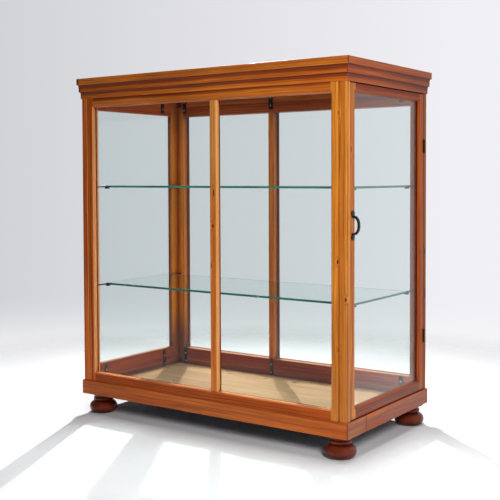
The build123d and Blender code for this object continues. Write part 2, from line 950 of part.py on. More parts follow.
def make_handle():
    """A bow between two round pads: the arms rise from the pads and meet in a flat grip."""
    reach = handle_stand_off + handle_bar_thickness / 2
    arm = handle_spacing / 2 - handle_pad_radius + handle_arm_lap
    outer = bow_line(reach, arm)
    inner = bow_line(reach - handle_bar_thickness, arm - handle_bar_thickness)
    outline = make_face([outer, Line(outer @ 1, inner @ 1), inner, Line(inner @ 0, outer @ 0)])
    bow = extrude(outline, amount=handle_bar_width / 2, both=True)
    bow = fillet(bow.edges().filter_by(GeomType.BSPLINE), handle_bar_rounding)
    handle = Pos(half_width, handle_y, handle_middle) * Rot(90, 0, 0) * bow
    pad = rod(handle_pad_radius, (0, -handle_pad_thickness, 0), (0, 0, 0))
    hole = rod(screw_radius + fit_clearance, (0, -2 * handle_pad_thickness, 0), (0, 1, 0))
    for place in handle_screw_places():
        handle += place * pad
    for place in handle_screw_places():
        handle -= place * hole
    return handle


def make_handle_screws():
    one = screw(screw_head_radius, screw_head_height, -handle_pad_thickness, screw_head_rounding)
    return group([place * one for place in handle_screw_places()])


def make_catch_magnet():
    x, y, z = magnet_place()
    return rod(magnet_radius, (x, y, z), (x - magnet_depth, y, z))


def make_catch_strike():
    x, y, z = magnet_place()
    return rod(strike_radius, (inner_right, y, z), (inner_right + strike_thickness, y, z))


# ---------------------------------------------------------------- build and save every piece
pieces = {}
pieces.update(make_posts())
pieces.update(make_rails())
pieces["mullion_front"] = make_mullion("front")
pieces["mullion_back"] = make_mullion("back")
pieces.update(make_panes())
for side in ("front", "back", "left"):
    pieces[f"glazing_beads_{side}"] = make_glazing_beads(side)
for side in ("front", "back", "left", "right"):
    pieces[f"plinth_{side}"] = make_plinth(side)
    pieces[f"cornice_{side}"] = make_cornice(side)
    pieces[f"cap_{side}"] = make_cap(side)
pieces["top_panel"] = make_top_panel()
pieces["floor_board"] = make_floor_board()
for name, (x, y) in foot_places().items():
    pieces[f"foot_{name}"] = make_foot(x, y)
pieces["foot_dowels"] = make_foot_dowels()
pieces["joint_plates"] = make_joint_plates()
pieces["joint_plate_screws"] = make_plate_screws()
pieces["shelf_lower"] = make_shelf(shelf_lower)
pieces["shelf_upper"] = make_shelf(shelf_upper)
pieces["shelf_pegs"] = make_shelf_pegs()
pieces.update(make_door_frame())
pieces["door_pane"] = make_door_pane()
pieces["door_beads"] = make_door_beads()
pieces["hinge_fixed_leaves"] = make_hinge_leaves(True)
pieces["hinge_moving_leaves"] = make_hinge_leaves(False)
pieces["hinge_pins"] = make_hinge_pins()
pieces["hinge_post_screws"] = make_hinge_screws(1)
pieces["hinge_door_screws"] = make_hinge_screws(-1)
pieces["door_handle"] = make_handle()
pieces["handle_screws"] = make_handle_screws()
pieces["catch_magnet"] = make_catch_magnet()
pieces["catch_strike"] = make_catch_strike()

for name, shape in pieces.items():
    save(shape, name)
print(len(pieces), "pieces saved")
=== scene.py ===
# %% [markdown]
# # A glazed pine display case
#
# This lesson dresses a finished construction model: a free-standing case of
# stained pine on four bun feet, glazed all round, with two glass shelves and a
# door in its right-hand side. The carpentry is already exact, so every piece
# keeps its built shape, and the work here is the finish: grain that runs along
# each board, varnish that catches the light, float glass with green edges, and
# dark little fittings.

# %% Load the case
import math
import random
import bpy
from mathutils import Matrix, Vector


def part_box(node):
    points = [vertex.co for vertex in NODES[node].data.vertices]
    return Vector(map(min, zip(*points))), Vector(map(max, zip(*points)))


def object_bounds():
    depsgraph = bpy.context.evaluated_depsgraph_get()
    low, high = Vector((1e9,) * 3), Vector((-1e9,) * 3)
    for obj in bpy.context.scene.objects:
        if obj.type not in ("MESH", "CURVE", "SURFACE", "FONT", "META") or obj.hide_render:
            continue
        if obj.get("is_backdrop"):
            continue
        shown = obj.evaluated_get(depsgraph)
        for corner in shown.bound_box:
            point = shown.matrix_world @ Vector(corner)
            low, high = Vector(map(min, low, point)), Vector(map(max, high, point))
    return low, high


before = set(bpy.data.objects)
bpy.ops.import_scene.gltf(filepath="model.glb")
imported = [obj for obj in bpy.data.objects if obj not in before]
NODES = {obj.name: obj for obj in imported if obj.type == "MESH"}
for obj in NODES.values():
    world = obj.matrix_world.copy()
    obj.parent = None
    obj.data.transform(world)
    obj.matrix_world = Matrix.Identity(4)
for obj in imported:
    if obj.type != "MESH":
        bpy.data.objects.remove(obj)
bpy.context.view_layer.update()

MM = 0.001

# %% [markdown]
# ## Helpers for colour and nodes
#
# Paint charts and screens give colours as hex values, which are stored with a
# curve that suits the eye. The renderer needs plain amounts of light, so one
# function undoes that curve. The other helper adds a node to a material: its
# switches are written as words, and each of its inputs gets either a value or
# another node's output.


# %% Colour and node helpers
def paint(code):
    """A hex colour as linear red, green, blue and alpha."""
    parts = [int(code[i : i + 2], 16) / 255 for i in (1, 3, 5)]
    flat = [c / 12.92 if c <= 0.04045 else ((c + 0.055) / 1.055) ** 2.4 for c in parts]
    return (*flat, 1.0)


def put(tree, kind, feeds=None, **settings):
    """Adds one node with its settings, and feeds its inputs."""
    node = tree.nodes.new("ShaderNode" + kind)
    for name, value in settings.items():
        setattr(node, name, value)
    for socket, value in (feeds or {}).items():
        if isinstance(value, bpy.types.NodeSocket):
            tree.links.new(value, node.inputs[socket])
        else:
            node.inputs[socket].default_value = value
    return node


def blank(name):
    """A new material with an empty tree."""
    material = bpy.data.materials.new(name)
    material.use_nodes = True
    material.node_tree.nodes.clear()
    return material, material.node_tree


def dress(material, *names):
    """Gives built pieces a material."""
    for name in names:
        slots = NODES[name].data.materials
        slots.clear()
        slots.append(material)


print("helpers ready")

# %% [markdown]
# ## Where the grain runs
#
# A pattern has to know which way each board was sawn from the tree. Every
# position is turned so that its first number runs along the board, written in
# millimetres, and counted from the heart of the tree. The heart lies a few
# centimetres outside the board, so the year rings cross the board's end as arcs
# and run down its faces as long lines.

# %% Board coordinates
GRAIN_TURN = {
    "x": (0, 0, 0),
    "y": (0, 0, -math.pi / 2),
    "z": (0, math.pi / 2, 0),
}


def turned(place, along):
    """A place in millimetres with the grain direction first."""
    x, y, z = (v / MM for v in place)
    return Vector({"x": (x, y, z), "y": (y, -x, z), "z": (z, y, -x)}[along])


def heart_offset(name, along, heart):
    """How far positions shift so that they count from the heart of the tree."""
    low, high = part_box(name)
    return Vector(heart) - turned((low + high) / 2, along)


def board_place(tree, along, offset):
    """The position on a board, in millimetres from the heart of its tree."""
    where = put(tree, "TexCoord").outputs["Object"]
    scale = (1 / MM,) * 3
    turn = {"Vector": where, "Rotation": GRAIN_TURN[along], "Scale": scale, "Location": offset}
    return put(tree, "Mapping", turn).outputs["Vector"]


print("grain along", ", ".join(GRAIN_TURN))

# %% [markdown]
# ## What sawn pine shows
#
# Four things lie on top of each other. The year rings are three to five
# millimetres apart: soft pale wood that darkens slowly and stops at a sharp
# brown line. Fine fibres run the same way. The stain takes unevenly, so broad
# patches are redder or yellower. And here and there is a knot, small, dark and
# round, with the grain flowing round it.
#
# Each is a function of the board coordinates, so the same few lines serve the
# dark frame, the pale floor board and the turned feet. The first one is a soft
# spot as long and wide as asked. A short one is a knot, and a very long one is
# a stripe.

# %% Spots
SPOT_CORE = 0.35


def spot_shade(tree, place, spots):
    """One in the core of each spot, fading to nothing at its rim."""
    total = None
    for centre, length, width in spots:
        squeeze = (1 / length, 1 / width, 1 / width)
        shift = tuple(-c * s for c, s in zip(centre, squeeze))
        near = put(tree, "Mapping", {"Vector": place, "Scale": squeeze, "Location": shift})
        reach = put(tree, "VectorMath", {0: near.outputs["Vector"]}, operation="LENGTH")
        fade = {"Value": reach.outputs["Value"], "From Min": 1.0, "From Max": SPOT_CORE}
        shade = put(tree, "MapRange", fade, interpolation_type="SMOOTHSTEP").outputs["Result"]
        if total is not None:
            shade = put(tree, "Math", {0: total, 1: shade}, operation="MAXIMUM").outputs[0]
        total = shade
    return total


print("a spot is solid over", SPOT_CORE, "of its reach")

# %% [markdown]
# ## Wandering grain and year rings
#
# A straight set of rings looks ruled, so the position is first moved sideways
# by a slow noise, in waves about 260 mm long and 45 mm wide, and pushed aside
# where a knot is. The rings are a wave texture whose saw-tooth climbs slowly
# and drops at once, as the colour does from early to late wood.

# %% Grain that wanders, and its rings
WANDER_LENGTH, WANDER_WIDTH = 260, 45
KNOT_PUSH = 3.5
# A wave of rings repeats every 0.314 divided by its scale.
WAVE_PERIOD = 0.314


def wandering(tree, place, drift, around_knot=None):
    """The position with slow sideways wanders, as a grown tree has."""
    squeeze = (1 / WANDER_LENGTH, 1 / WANDER_WIDTH, 1 / WANDER_WIDTH)
    slow = put(tree, "Mapping", {"Vector": place, "Scale": squeeze}).outputs["Vector"]
    noise = put(tree, "TexNoise", {"Vector": slow, "Scale": 1.0, "Detail": 2.0})
    swing = {0: noise.outputs["Color"], 1: (0.5, 0.5, 0.5)}
    centred = put(tree, "VectorMath", swing, operation="SUBTRACT").outputs[0]
    reach = {0: centred, 1: (0, drift, drift), 2: place}
    moved = put(tree, "VectorMath", reach, operation="MULTIPLY_ADD").outputs[0]
    if around_knot is None:
        return moved
    aside = {0: (0, KNOT_PUSH, KNOT_PUSH), "Scale": around_knot}
    push = put(tree, "VectorMath", aside, operation="SCALE").outputs[0]
    return put(tree, "VectorMath", {0: moved, 1: push}, operation="ADD").outputs[0]


def year_rings(tree, place, spacing):
    """A saw-tooth from the pale early wood to the dark late wood of each year."""
    # Squeezed along the board, so the lines run long and nearly straight.
    long = put(tree, "Mapping", {"Vector": place, "Scale": (0.15, 1, 1)}).outputs["Vector"]
    settings = {"Vector": long, "Scale": WAVE_PERIOD / spacing, "Distortion": 3.0, "Detail": 2.0}
    settings |= {"Detail Scale": 0.6, "Detail Roughness": 0.6}
    rings = {"wave_type": "RINGS", "rings_direction": "X", "wave_profile": "SAW"}
    return put(tree, "TexWave", settings, **rings).outputs["Fac"]


def fibres(tree, place, length, width):
    """Noise drawn out along the board into streaks of a length and width."""
    squeeze = (1 / length, 1 / width, 1 / width)
    fine = put(tree, "Mapping", {"Vector": place, "Scale": squeeze}).outputs["Vector"]
    return put(tree, "TexNoise", {"Vector": fine, "Scale": 1.0, "Detail": 3.0}).outputs["Fac"]


print("grain wanders over", WANDER_LENGTH, "mm")

# %% [markdown]
# ## The colour of stained pine
#
# The frame is pine, planed and wiped with a warm orange-brown stain. Colour
# goes on in the order in which the wood took it. Patches a hand long and a
# finger wide are paler or deeper, where more or less of the stain went in.
# Bands are the places that differ by more than chance: a strip that took the
# stain more strongly, the dark line of a glued mitre, and painted shade, such
# as the shade under each step, which is painted into the colour. The late wood
# stays as brown lines, stronger in some years than in others. Last come the
# fibres, real ones being finer than a tenth of a millimetre and so drawn 1.6 mm
# wide, as coarse as they need to show.

# %% Patches, bands, rings and fibres
PATCH = (320.0, 14.0)
STRONG_YEARS = (500.0, 9.0)
FIBRE = (90.0, 1.6)
BAND_STRENGTH = 0.9


def stained_colour(tree, place, flow, grain, shades, bands, spacing):
    """The stained wood of one board, with its bands, some of them painted shade; knots, edges and
    corners apart.
    """
    pale, middle, dark = shades
    patch = {"Value": fibres(tree, place, *PATCH), "From Min": 0.36, "From Max": 0.64}
    patch = put(tree, "MapRange", patch, interpolation_type="SMOOTHSTEP").outputs["Result"]
    colour = {"Factor": patch, "A": pale, "B": middle}
    colour = put(tree, "Mix", colour, data_type="RGBA").outputs["Result"]

    # Some bands are painted shade, under steps and in the door's gap.
    for centre, length, width, tint in bands:
        share = {0: spot_shade(tree, flow, [(centre, length, width)]), 1: BAND_STRENGTH}
        share = put(tree, "Math", share, operation="MULTIPLY").outputs[0]
        colour = {"Factor": share, "A": colour, "B": paint(tint)}
        colour = put(tree, "Mix", colour, data_type="RGBA").outputs["Result"]

    late = {"Value": year_rings(tree, flow, spacing), "From Min": 0.6, "From Max": 1.0}
    late = put(tree, "MapRange", late, interpolation_type="SMOOTHSTEP").outputs["Result"]
    years = {"Value": fibres(tree, place, *STRONG_YEARS), "From Min": 0.38, "From Max": 0.66}
    years = put(tree, "MapRange", years | {"To Min": 0.1, "To Max": 0.9}).outputs["Result"]
    late = put(tree, "Math", {0: late, 1: years}, operation="MULTIPLY").outputs[0]
    colour = {"Factor": late, "A": colour, "B": dark}
    colour = put(tree, "Mix", colour, data_type="RGBA").outputs["Result"]

    streak = {"Value": grain, "From Min": 0.34, "From Max": 0.66, "To Min": 0.74, "To Max": 1.17}
    streak = put(tree, "MapRange", streak).outputs["Result"]
    return put(tree, "VectorMath", {0: colour, "Scale": streak}, operation="SCALE").outputs[0]


print("fibres", FIBRE[1], "mm wide, patches", PATCH[1], "mm wide")

# %% [markdown]
# ## Painted highlights on edges, sealed undersides and painted shade in corners
#
# Edges are paler: a painted highlight where an edge catches the light, which
# also stands for stain that sanding and dusting wore thin. The Bevel node gives
# a direction that turns round an edge, and an edge is wherever it differs from
# the true one. On a few pieces one whole face is as pale, a painted highlight
# on the side of a slim upright that faces the light, or on the top of a low rail.
#
# Corners go the other way: painted shade makes them darker and redder, where
# shade falls in corners and joints. Ambient Occlusion, which measures how closed
# in a point is, finds them. Undersides that were only sealed keep a colour of
# their own.

# %% Edges, undersides and corners
# Painted highlight colour for edges and light-facing faces, also standing for worn stain.
WORN_AND_LIT_EDGE = paint("#F0AE70")
# Painted shade in corners keeps this share of red, green and blue.
CORNER_SHADE_TINT = (0.4, 0.2, 0.15)


def worn_and_lit_colour(tree, colour, soft_edge, crevice, wear_and_highlight, lit_face):
    """The colour with painted highlights: pale edges, and one pale face where a direction is given.
    """
    flat = put(tree, "NewGeometry").outputs["True Normal"]
    agree = put(tree, "VectorMath", {0: soft_edge, 1: flat}, operation="DOT_PRODUCT")
    edge = {"Value": agree.outputs["Value"], "From Min": 0.99, "From Max": 0.85, "To Max": 0.5}
    edge = put(tree, "MapRange", edge).outputs["Result"]
    if lit_face is not None:
        facing = put(tree, "VectorMath", {0: flat, 1: lit_face}, operation="DOT_PRODUCT")
        facing = {0: facing.outputs["Value"], 1: 0.5}
        facing = put(tree, "Math", facing, operation="GREATER_THAN").outputs[0]
        edge = put(tree, "Math", {0: edge, 1: facing}, operation="MAXIMUM").outputs[0]
    clear = {"Value": crevice, "From Min": 0.3, "From Max": 0.6, "To Max": wear_and_highlight}
    clear = put(tree, "MapRange", clear).outputs["Result"]
    painted_highlight = put(tree, "Math", {0: edge, 1: clear}, operation="MULTIPLY").outputs[0]
    painted_highlight = {"Factor": painted_highlight, "A": colour, "B": WORN_AND_LIT_EDGE}
    return put(tree, "Mix", painted_highlight, data_type="RGBA").outputs["Result"]


def sealed_colour(tree, colour, seal):
    """The colour with a sealed underside."""
    down = put(tree, "SeparateXYZ", {"Vector": put(tree, "NewGeometry").outputs["True Normal"]})
    down = put(tree, "Math", {0: down.outputs["Z"], 1: -0.9}, operation="LESS_THAN").outputs[0]
    sealed = {"Factor": down, "A": colour, "B": seal}
    return put(tree, "Mix", sealed, data_type="RGBA").outputs["Result"]


def shaded_corner_colour(tree, colour, crevice, corner_shade):
    """The colour with painted shade in corners, full at one openness and gone at the next."""
    painted_shade = put(tree, "VectorMath", {0: colour, 1: CORNER_SHADE_TINT}, operation="MULTIPLY").outputs[0]
    open_air = {"Value": crevice, "From Min": corner_shade[0], "From Max": corner_shade[1]}
    open_air = put(tree, "MapRange", open_air).outputs["Result"]
    wear_and_shade = {"Factor": open_air, "A": painted_shade, "B": colour}
    return put(tree, "Mix", wear_and_shade, data_type="RGBA").outputs["Result"]


print("corners keep", CORNER_SHADE_TINT, "of red, green and blue")

# %% [markdown]
# ## The varnish
#
# Over the stain lies a satin varnish, brushed on and rubbed down. It gives a
# soft broad sheen, a little rougher along each fibre, and a faint clearer skin
# on top, which is the shader's coat. Hand-rubbed faces shine less, so the shine
# differs from piece to piece. The Bevel node's direction also rounds every edge
# to the eye by 0.9 mm without touching the shape.

# %% Satin varnish
SATIN = 0.27
EDGE_ROUND = 0.9 * MM
FIBRE_RELIEF = 0.1 * MM


def varnish(tree, colour, grain, soft_edge, gloss, shine):
    """Satin varnish over a colour, with the fibres just raised."""
    sheen = {"Value": grain, "To Min": gloss, "To Max": gloss + 0.14}
    rough = put(tree, "MapRange", sheen).outputs["Result"]
    relief = {"Strength": 0.2, "Distance": FIBRE_RELIEF, "Height": grain, "Normal": soft_edge}
    bump = put(tree, "Bump", relief).outputs["Normal"]
    skin = {"Base Color": colour, "Roughness": rough, "IOR": 1.5, "Normal": bump}
    skin |= {"Specular IOR Level": shine, "Coat Weight": shine / 4, "Coat Roughness": 0.18}
    surface = put(tree, "BsdfPrincipled", skin).outputs["BSDF"]
    put(tree, "OutputMaterial", {"Surface": surface})


print("satin shine", SATIN, "edges", EDGE_ROUND / MM, "mm round")

# %% [markdown]
# ## The whole wooden finish
#
# One function puts the layers together for one piece: the place on the board,
# the wandering grain, the stain, the knots, the painted highlights on edges,
# the painted shade in corners and the varnish. What most pieces share is
# listed once, and a piece names only what differs. The heart of each board's
# tree is thrown with dice that always fall the same way, so no two boards are
# alike and the case comes out the same every time.

# %% The wooden finish
USUAL = {
    "knots": (),
    "bands": (),
    "spacing": 5.0,
    "gloss": 0.3,
    "shine": SATIN,
    # The next three are a painted highlight on edges, the face that gets one too, and painted shade
    # in corners.
    "wear_and_highlight": 0.15,
    "lit_face": None,
    "corner_shade": (0.4, 0.95),
    "under": None,
}
DRIFT = 7.0
KNOT_HALO = 2.6
CORNER_REACH = 14 * MM
dice = random.Random(41)


def random_heart(dice):
    """A heart of the tree three to nine centimetres from the board's middle."""
    angle = dice.uniform(0, 2 * math.pi)
    distance = dice.uniform(30, 90)
    along = dice.uniform(-2000, 2000)
    return (along, distance * math.cos(angle), distance * math.sin(angle))


def wood(name, node, along, shades, **differs):
    """A wooden finish for one piece, from its pale, middle, dark and knot shades."""
    look = USUAL | differs
    material, tree = blank(name)
    offset = heart_offset(node, along, random_heart(dice))
    place = board_place(tree, along, offset)
    spots = [(turned(spot, along) + offset, *size) for spot, *size in look["knots"]]
    halo = [(centre, long * KNOT_HALO, wide * KNOT_HALO) for centre, long, wide in spots]
    flow = wandering(tree, place, DRIFT, spot_shade(tree, place, halo))
    grain = fibres(tree, flow, *FIBRE)

    bands = [(turned(spot, along) + offset, *size) for spot, *size in look["bands"]]
    colour = stained_colour(tree, place, flow, grain, shades[:3], bands, look["spacing"])
    if spots:
        knot = {"Factor": spot_shade(tree, place, spots), "A": colour, "B": shades[3]}
        colour = put(tree, "Mix", knot, data_type="RGBA").outputs["Result"]

    crevice = put(tree, "AmbientOcclusion", {"Distance": CORNER_REACH}, samples=8).outputs["AO"]
    soft_edge = put(tree, "Bevel", {"Radius": EDGE_ROUND}, samples=4).outputs["Normal"]
    # Painted highlights on edges and on a face turned to the light.
    colour = worn_and_lit_colour(tree, colour, soft_edge, crevice, look["wear_and_highlight"], look["lit_face"])
    if look["under"]:
        colour = sealed_colour(tree, colour, look["under"])
    # Painted shade in corners and joints.
    colour = shaded_corner_colour(tree, colour, crevice, look["corner_shade"])
    varnish(tree, colour, grain, soft_edge, look["gloss"], look["shine"])
    dress(material, node)


print("a piece can differ in", ", ".join(USUAL))

# %% [markdown]
# ## Shades of the stain
#
# No two boards took the stain alike. A tone slides each one from golden, at 0,
# to russet, at 1, and a little past 1 is redder still. A depth makes it darker,
# below 1, or paler, above 1.

# %% Shades
GOLDEN = ("#E59134", "#D07A25", "#8F4413")
RUSSET = ("#BE5E22", "#A84A18", "#6B260C")
KNOT_BROWN = paint("#3A1A0C")


def between(first, second, share):
    """A colour part of the way from one hex colour to another."""
    return tuple(a + (b - a) * share for a, b in zip(paint(first), paint(second)))


def stained(tone, depth):
    """The pale, middle, dark and knot shades of a board."""
    mixed = [between(g, r, tone) for g, r in zip(GOLDEN, RUSSET)]
    shades = [(*(c * depth for c in shade[:3]), 1.0) for shade in mixed]
    return (*shades, KNOT_BROWN)


print("stained pine from", GOLDEN[0], "to", RUSSET[2])

# %% [markdown]
# ## The frame, board by board
#
# Each wooden piece is listed with the way its grain runs, its tone and its
# depth. Uprights have upright grain, rails and mouldings have it along their
# length.

# %% Grain, tone and depth of each board
FRAME = {
    "post_front_left": ("z", 1.0, 1.6),
    "post_front_right": ("z", 0.0, 1.17),
    "post_rear_left": ("z", 0.2, 0.82),
    "post_rear_right": ("z", 0.8, 0.95),
    "rail_front_bottom": ("x", 1.0, 1.32),
    "rail_front_top": ("x", 0.7, 1.22),
    "rail_back_bottom": ("x", 1.3, 0.55),
    "rail_back_top": ("x", 1.0, 0.8),
    "rail_left_bottom": ("y", 1.2, 0.58),
    "rail_left_top": ("y", 1.0, 1.25),
    "mullion_front": ("z", 0.5, 1.45),
    "mullion_back": ("z", 0.5, 0.8),
    "glazing_beads_front": ("z", 0.6, 0.9),
    "glazing_beads_back": ("z", 0.8, 0.7),
    "glazing_beads_left": ("z", 0.8, 0.7),
    "plinth_front": ("x", 0.9, 1.3),
    "plinth_back": ("x", 1.0, 0.55),
    "plinth_left": ("y", 1.0, 0.6),
    "plinth_right": ("y", 0.95, 0.95),
    "cornice_front": ("x", 0.7, 1.45),
    "cornice_back": ("x", 0.6, 1.1),
    "cornice_left": ("y", 0.6, 1.1),
    "cornice_right": ("y", 1.0, 1.1),
    "cap_front": ("x", 0.6, 1.05),
    "cap_back": ("x", 0.5, 1.05),
    "cap_left": ("y", 0.5, 1.05),
    "cap_right": ("y", 1.0, 1.0),
    "top_panel": ("x", 0.6, 1.0),
    "door_stile_closing": ("z", 0.35, 1.0),
    "door_stile_hinge": ("z", 1.0, 1.0),
    "door_rail_bottom": ("y", 1.1, 0.6),
    "door_rail_top": ("y", 1.1, 0.95),
    "door_beads": ("z", 0.8, 0.8),
}
print(len(FRAME), "boards listed")

# %% [markdown]
# ## Knots
#
# A few small knots sit in the slim uprights, where a joiner would let them
# pass. Each has a place in metres on the face where it shows, and a length and
# width in millimetres.

# %% Knots in the uprights
KNOTS = {
    "post_front_right": [
        ((0.2852, -0.1544, 0.576), 6.0, 2.6),
        ((0.2829, -0.1544, 0.3314), 4.6, 2.6),
        ((0.2850, -0.1544, 0.186), 5.0, 2.4),
        ((0.2984, -0.1544, 0.2699), 4.5, 2.6),
    ],
    "post_rear_right": [((0.3, 0.1487, 0.3298), 9.0, 3.0), ((0.3, 0.1497, 0.25), 14.0, 3.0)],
    "door_stile_hinge": [((0.3, 0.1295, 0.3292), 4.0, 2.6)],
    "door_stile_closing": [((0.3, -0.1395, 0.5165), 7.0, 2.0)],
    "mullion_front": [
        ((0.0215, -0.1544, 0.3121), 7.0, 1.8),
        ((0.028, -0.1544, 0.4429), 10.0, 2.0),
        ((0.0262, -0.1544, 0.3836), 5.0, 3.0),
    ],
}
print(sum(len(spots) for spots in KNOTS.values()), "knots")

# %% [markdown]
# ## Bands
#
# A band has a place, a length and width in millimetres, and a colour. The very
# long ones run the whole length of a moulding: painted shade under each step,
# where the step above shades it, and over it the thin black seam where two
# boards meet. The short ones at the ends of the mouldings are the open mitres,
# and the wide ones are paler or deeper stretches of board. One long thin band on
# the side of the front right post is painted shade too, the shadow line of the
# door's gap.

# %% Bands, steps and mitres
# Painted shade under each step and under the cornice; the mitre colour is the dark of open joints.
PAINTED_STEP_SHADE = "#7E2E12"
MITRE = "#4A1A0A"
BANDS = {
    "post_front_right": [
        ((0.2932, -0.1544, 0.35), 900.0, 8.5, "#CC7526"),
        ((0.2900, -0.1544, 0.15), 170.0, 60.0, "#D07A24"),
        # Painted shade: the dark shadow line of the door's gap, on the post's side.
        ((0.3000, -0.1508, 0.35), 3000.0, 2.2, "#7E3410"),
    ],
    "mullion_front": [((0.0268, -0.1544, 0.62), 240.0, 60.0, "#EFA04A")],
    "cap_front": [
        ((-0.02, -0.1617, 0.66), 120.0, 30.0, "#DC7A2C"),
        ((-0.24, -0.1617, 0.66), 150.0, 30.0, "#F08A30"),
        ((0.3073, -0.1617, 0.6607), 2.0, 14.0, MITRE),
        ((-0.3073, -0.1617, 0.6607), 7.0, 16.0, MITRE),
    ],
    "cap_right": [((0.3073, -0.1617, 0.6607), 2.0, 14.0, MITRE)],
    "cornice_front": [
        ((0.0, -0.1596, 0.6542), 5000.0, 11.0, PAINTED_STEP_SHADE),
        ((0.0, -0.1568, 0.6375), 5000.0, 4.8, PAINTED_STEP_SHADE),
        ((0.0, -0.1596, 0.6547), 5000.0, 2.6, MITRE),
        ((0.0, -0.1568, 0.6403), 5000.0, 1.8, MITRE),
        ((0.3042, -0.1586, 0.6407), 2.0, 20.0, MITRE),
        ((-0.3042, -0.1586, 0.6407), 7.0, 24.0, MITRE),
    ],
    "cornice_right": [
        ((0.3052, 0.0, 0.6542), 5000.0, 10.0, PAINTED_STEP_SHADE),
        ((0.3024, 0.0, 0.6375), 5000.0, 4.5, PAINTED_STEP_SHADE),
        ((0.3052, 0.0, 0.6547), 5000.0, 2.6, MITRE),
        ((0.3024, 0.0, 0.6403), 5000.0, 1.8, MITRE),
    ],
    "rail_front_top": [
        ((-0.2, -0.1500, 0.61), 130.0, 40.0, "#E8823A"),
        ((0.0, -0.1500, 0.6270), 5000.0, 8.5, PAINTED_STEP_SHADE),
    ],
    "door_rail_top": [((0.3, 0.0, 0.6250), 5000.0, 8.0, PAINTED_STEP_SHADE)],
    "post_rear_left": [((-0.288, 0.13, 0.06), 130.0, 60.0, "#6A2C10")],
    "post_rear_right": [((0.2840, 0.1304, 0.35), 1000.0, 14.0, "#6E3119")],
    "plinth_front": [((0.3026, -0.157, 0.053), 1.8, 40.0, MITRE)],
    "plinth_right": [
        ((0.3026, -0.125, 0.05), 40.0, 60.0, "#B4662F"),
        ((0.3026, -0.157, 0.053), 3.0, 40.0, MITRE),
        ((0.3026, -0.091, 0.053), 2.2, 40.0, MITRE),
    ],
}
print(sum(len(bands) for bands in BANDS.values()), "bands")

# %% [markdown]
# ## Shine, painted highlights and painted shade
#
# The rails and the outer mouldings were rubbed down more than the posts, so
# they shine less. The front pieces get stronger painted highlights on their
# edges and less painted shade in their corners than the rest. Two of the
# uprights get a painted highlight on the side that faces right, towards the
# key lamp, and the low rails on their tops.

# %% Shine, painted highlights and painted shade
SHINE = {
    "rail_front_bottom": 0.1,
    "rail_back_bottom": 0.1,
    "rail_left_bottom": 0.1,
    "plinth_front": 0.18,
    "post_front_left": 0.15,
    "post_rear_right": 0.08,
    "cap_right": 0.18,
    "cornice_right": 0.15,
    "plinth_right": 0.22,
    "door_rail_top": 0.12,
    "door_rail_bottom": 0.18,
    "door_stile_hinge": 0.2,
    "door_stile_closing": 0.2,
}
# Pieces with stronger painted highlights, and lighter painted shade in their corners.
HIGHLIGHTED = {
    "post_front_left": {"wear_and_highlight": 0.7, "lit_face": (1, 0, 0)},
    "post_front_right": {"wear_and_highlight": 0.25},
    "mullion_front": {"wear_and_highlight": 0.65, "lit_face": (1, 0, 0)},
    "rail_front_bottom": {"wear_and_highlight": 0.3, "lit_face": (0, 0, 1)},
    "rail_left_bottom": {"wear_and_highlight": 0.3, "lit_face": (0, 0, 1)},
    "rail_back_bottom": {"wear_and_highlight": 0.3, "lit_face": (0, 0, 1)},
    "door_stile_closing": {"wear_and_highlight": 0.3},
}
# Painted shade in corners, from full to none between two degrees of openness.
LIGHT_CORNER_SHADE = (0.15, 0.6)
DEEP_CORNER_SHADE = (0.5, 0.95)
print(len(SHINE), "duller pieces,", len(HIGHLIGHTED), "handled ones")

# %% [markdown]
# ## Dressing the frame
#
# The lists come together here. Each board gets a material of its own, because
# its grain is counted from its own place, and a knot or a band belongs to one
# board only.

# %% Dress the frame
for node, (along, tone, depth) in FRAME.items():
    differs = {"knots": KNOTS.get(node, ()), "bands": BANDS.get(node, ())}
    differs |= {"corner_shade": LIGHT_CORNER_SHADE if node in HIGHLIGHTED else DEEP_CORNER_SHADE}
    differs |= {"shine": SHINE.get(node, SATIN)} | HIGHLIGHTED.get(node, {})
    wood("stained_pine_" + node, node, along, stained(tone, depth), **differs)
print(len(FRAME), "stained pieces")

# %% [markdown]
# ## The floor board
#
# The floor of the case is bare pine under a thin matt varnish, cream to honey,
# with brown flecks and knots drawn out along the board. It hardly shines, which
# lets the light that falls through the glass draw clear shapes on it. Its
# underside was only sealed, and looks grey in the shade.

# %% Dress the floor board
PALE = tuple(paint(c) for c in ("#AC8A62", "#9C7952", "#784922", "#4E260E"))
FLOOR_LOOK = {
    "knots": [
        ((-0.1191, 0.0968, 0.055), 9.0, 4.0),
        ((-0.0302, 0.0979, 0.055), 9.0, 4.0),
        ((0.0394, 0.0998, 0.055), 11.0, 5.0),
    ],
    "gloss": 0.55,
    "shine": 0.06,
    "under": paint("#868E92"),
}
wood("varnished_pine", "floor_board", "x", PALE, **FLOOR_LOOK)
print("floor board dressed")

# %% [markdown]
# ## Turned feet and dowels
#
# The feet were turned on a lathe from thicker pine, stained dark red-brown and
# polished, so they are the glossiest wood here. Their grain is upright, and a
# warmer, paler brown is painted round the neck as a painted highlight, where the
# neck catches the light. The dowels inside are plain beech, pale and matt.

# %% Dress the feet
FOOT = tuple(paint(c) for c in ("#803119", "#6C2813", "#47180A", "#301008"))
